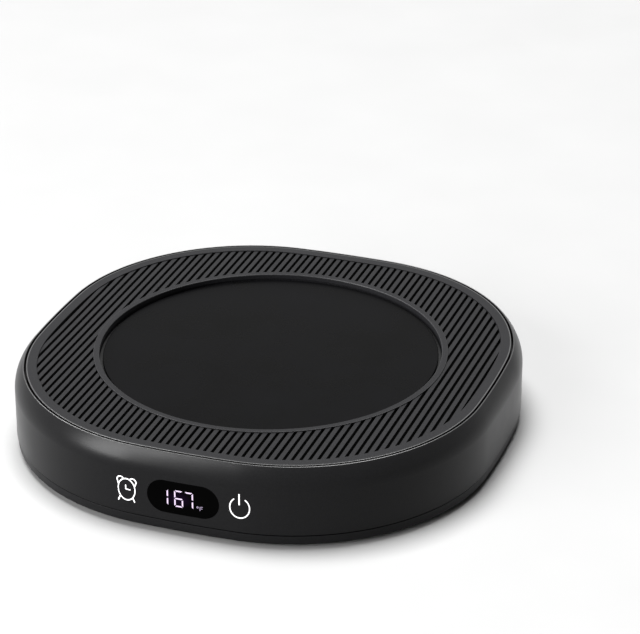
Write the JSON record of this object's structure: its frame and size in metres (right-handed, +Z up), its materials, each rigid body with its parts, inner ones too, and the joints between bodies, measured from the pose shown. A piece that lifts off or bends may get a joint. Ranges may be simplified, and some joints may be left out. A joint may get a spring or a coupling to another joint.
{
  "type": "electric mug warmer",
  "caption": "Low rounded-square mug warmer: ribbed top, recessed sprung round heating plate over a weight switch, lit display window and touch keys on the front wall, power inlet at the rear.",
  "frame": {"origin": "middle of the plane that the four feet stand on", "axes": "+Z up, -Y towards the front wall with the display, +Y towards the inlet, +X to the right seen from the front"},
  "size_m": [0.1346, 0.1347, 0.0231],
  "materials": {
    "shell_plastic": "satin charcoal-black ABS, fine spark-eroded texture",
    "deck_plastic": "matt dark grey heat-resistant nylon",
    "base_plastic": "matt black ABS",
    "foot_rubber": "soft black rubber",
    "plate_coating": "glossy black coating on aluminium",
    "seal_silicone": "black silicone",
    "heater_film": "amber polyimide film with etched foil track",
    "mica": "pressed mica sheet",
    "fibre": "ceramic fibre felt",
    "bare_steel": "zinc-plated steel",
    "spring_steel": "drawn spring wire",
    "carrier_plastic": "glass-filled nylon",
    "sensor_glass": "epoxy-coated sensor",
    "cutout_case": "white ceramic-filled case",
    "board_green": "solder-masked glass-epoxy board",
    "part_black": "black moulding compound",
    "switch_plastic": "black switch housing",
    "plunger_red": "red switch plunger",
    "can_aluminium": "drawn aluminium can",
    "tinned_brass": "tinned brass contact",
    "socket_nylon": "natural nylon connector",
    "smoked_lens": "smoked acrylic, polished",
    "digit_plastic": "black display module with white digits",
    "lead_jacket": "silicone lead jacket",
    "sensor_jacket": "white lead jacket",
    "ribbon_jacket": "grey flat cable"
  },
  "bodies": {
    "casing": {"housing": "shell_plastic", "housing_rear": "shell_plastic", "top_deck": "deck_plastic", "base_pan": "base_plastic", "rubber_feet": "foot_rubber", "casing_screws": "bare_steel", "stop_screws": "bare_steel", "stop_washers": "bare_steel", "return_springs": "spring_steel", "main_board": "board_green", "board_screws": "bare_steel", "weight_switch": "switch_plastic", "inlet_jack": "part_black", "inlet_pin": "tinned_brass", "capacitors": "can_aluminium", "inductor": "part_black", "control_chip": "part_black", "heater_transistor": "part_black", "buzzer": "part_black", "lead_sockets": "socket_nylon", "display_window": "smoked_lens", "digit_module": "digit_plastic", "display_board": "board_green", "touch_springs": "spring_steel", "heater_leads": "lead_jacket", "sensor_leads": "sensor_jacket", "cutout_leads": "sensor_jacket", "board_headers": "socket_nylon", "flat_cable": "ribbon_jacket"},
    "plate": {"heating_plate": "plate_coating", "plate_seal": "seal_silicone", "heater_film": "heater_film", "mica_sheet": "mica", "fibre_pad": "fibre", "pressure_plate": "bare_steel", "plate_carrier": "carrier_plastic", "plate_screws": "bare_steel", "thermistor": "sensor_glass", "thermal_cutout": "cutout_case"},
    "plunger": {"switch_plunger": "plunger_red"}
  },
  "joints": [
    {"name": "plate_press", "type": "slide", "parent": "casing", "child": "plate", "axis": [0, 0, -1], "range_m": [0, 0.0008], "stiffness_N_per_m": 2000, "springref_m": -0.0015, "deforming": ["return_springs", "heater_leads", "sensor_leads", "cutout_leads"]},
    {"name": "plunger_press", "type": "slide", "parent": "casing", "child": "plunger", "axis": [0, 0, -1], "range_m": [0, 0.0008]}
  ],
  "couplings": [
    {"joint": "plunger_press", "follows": "plate_press", "ratio": 1}
  ]
}
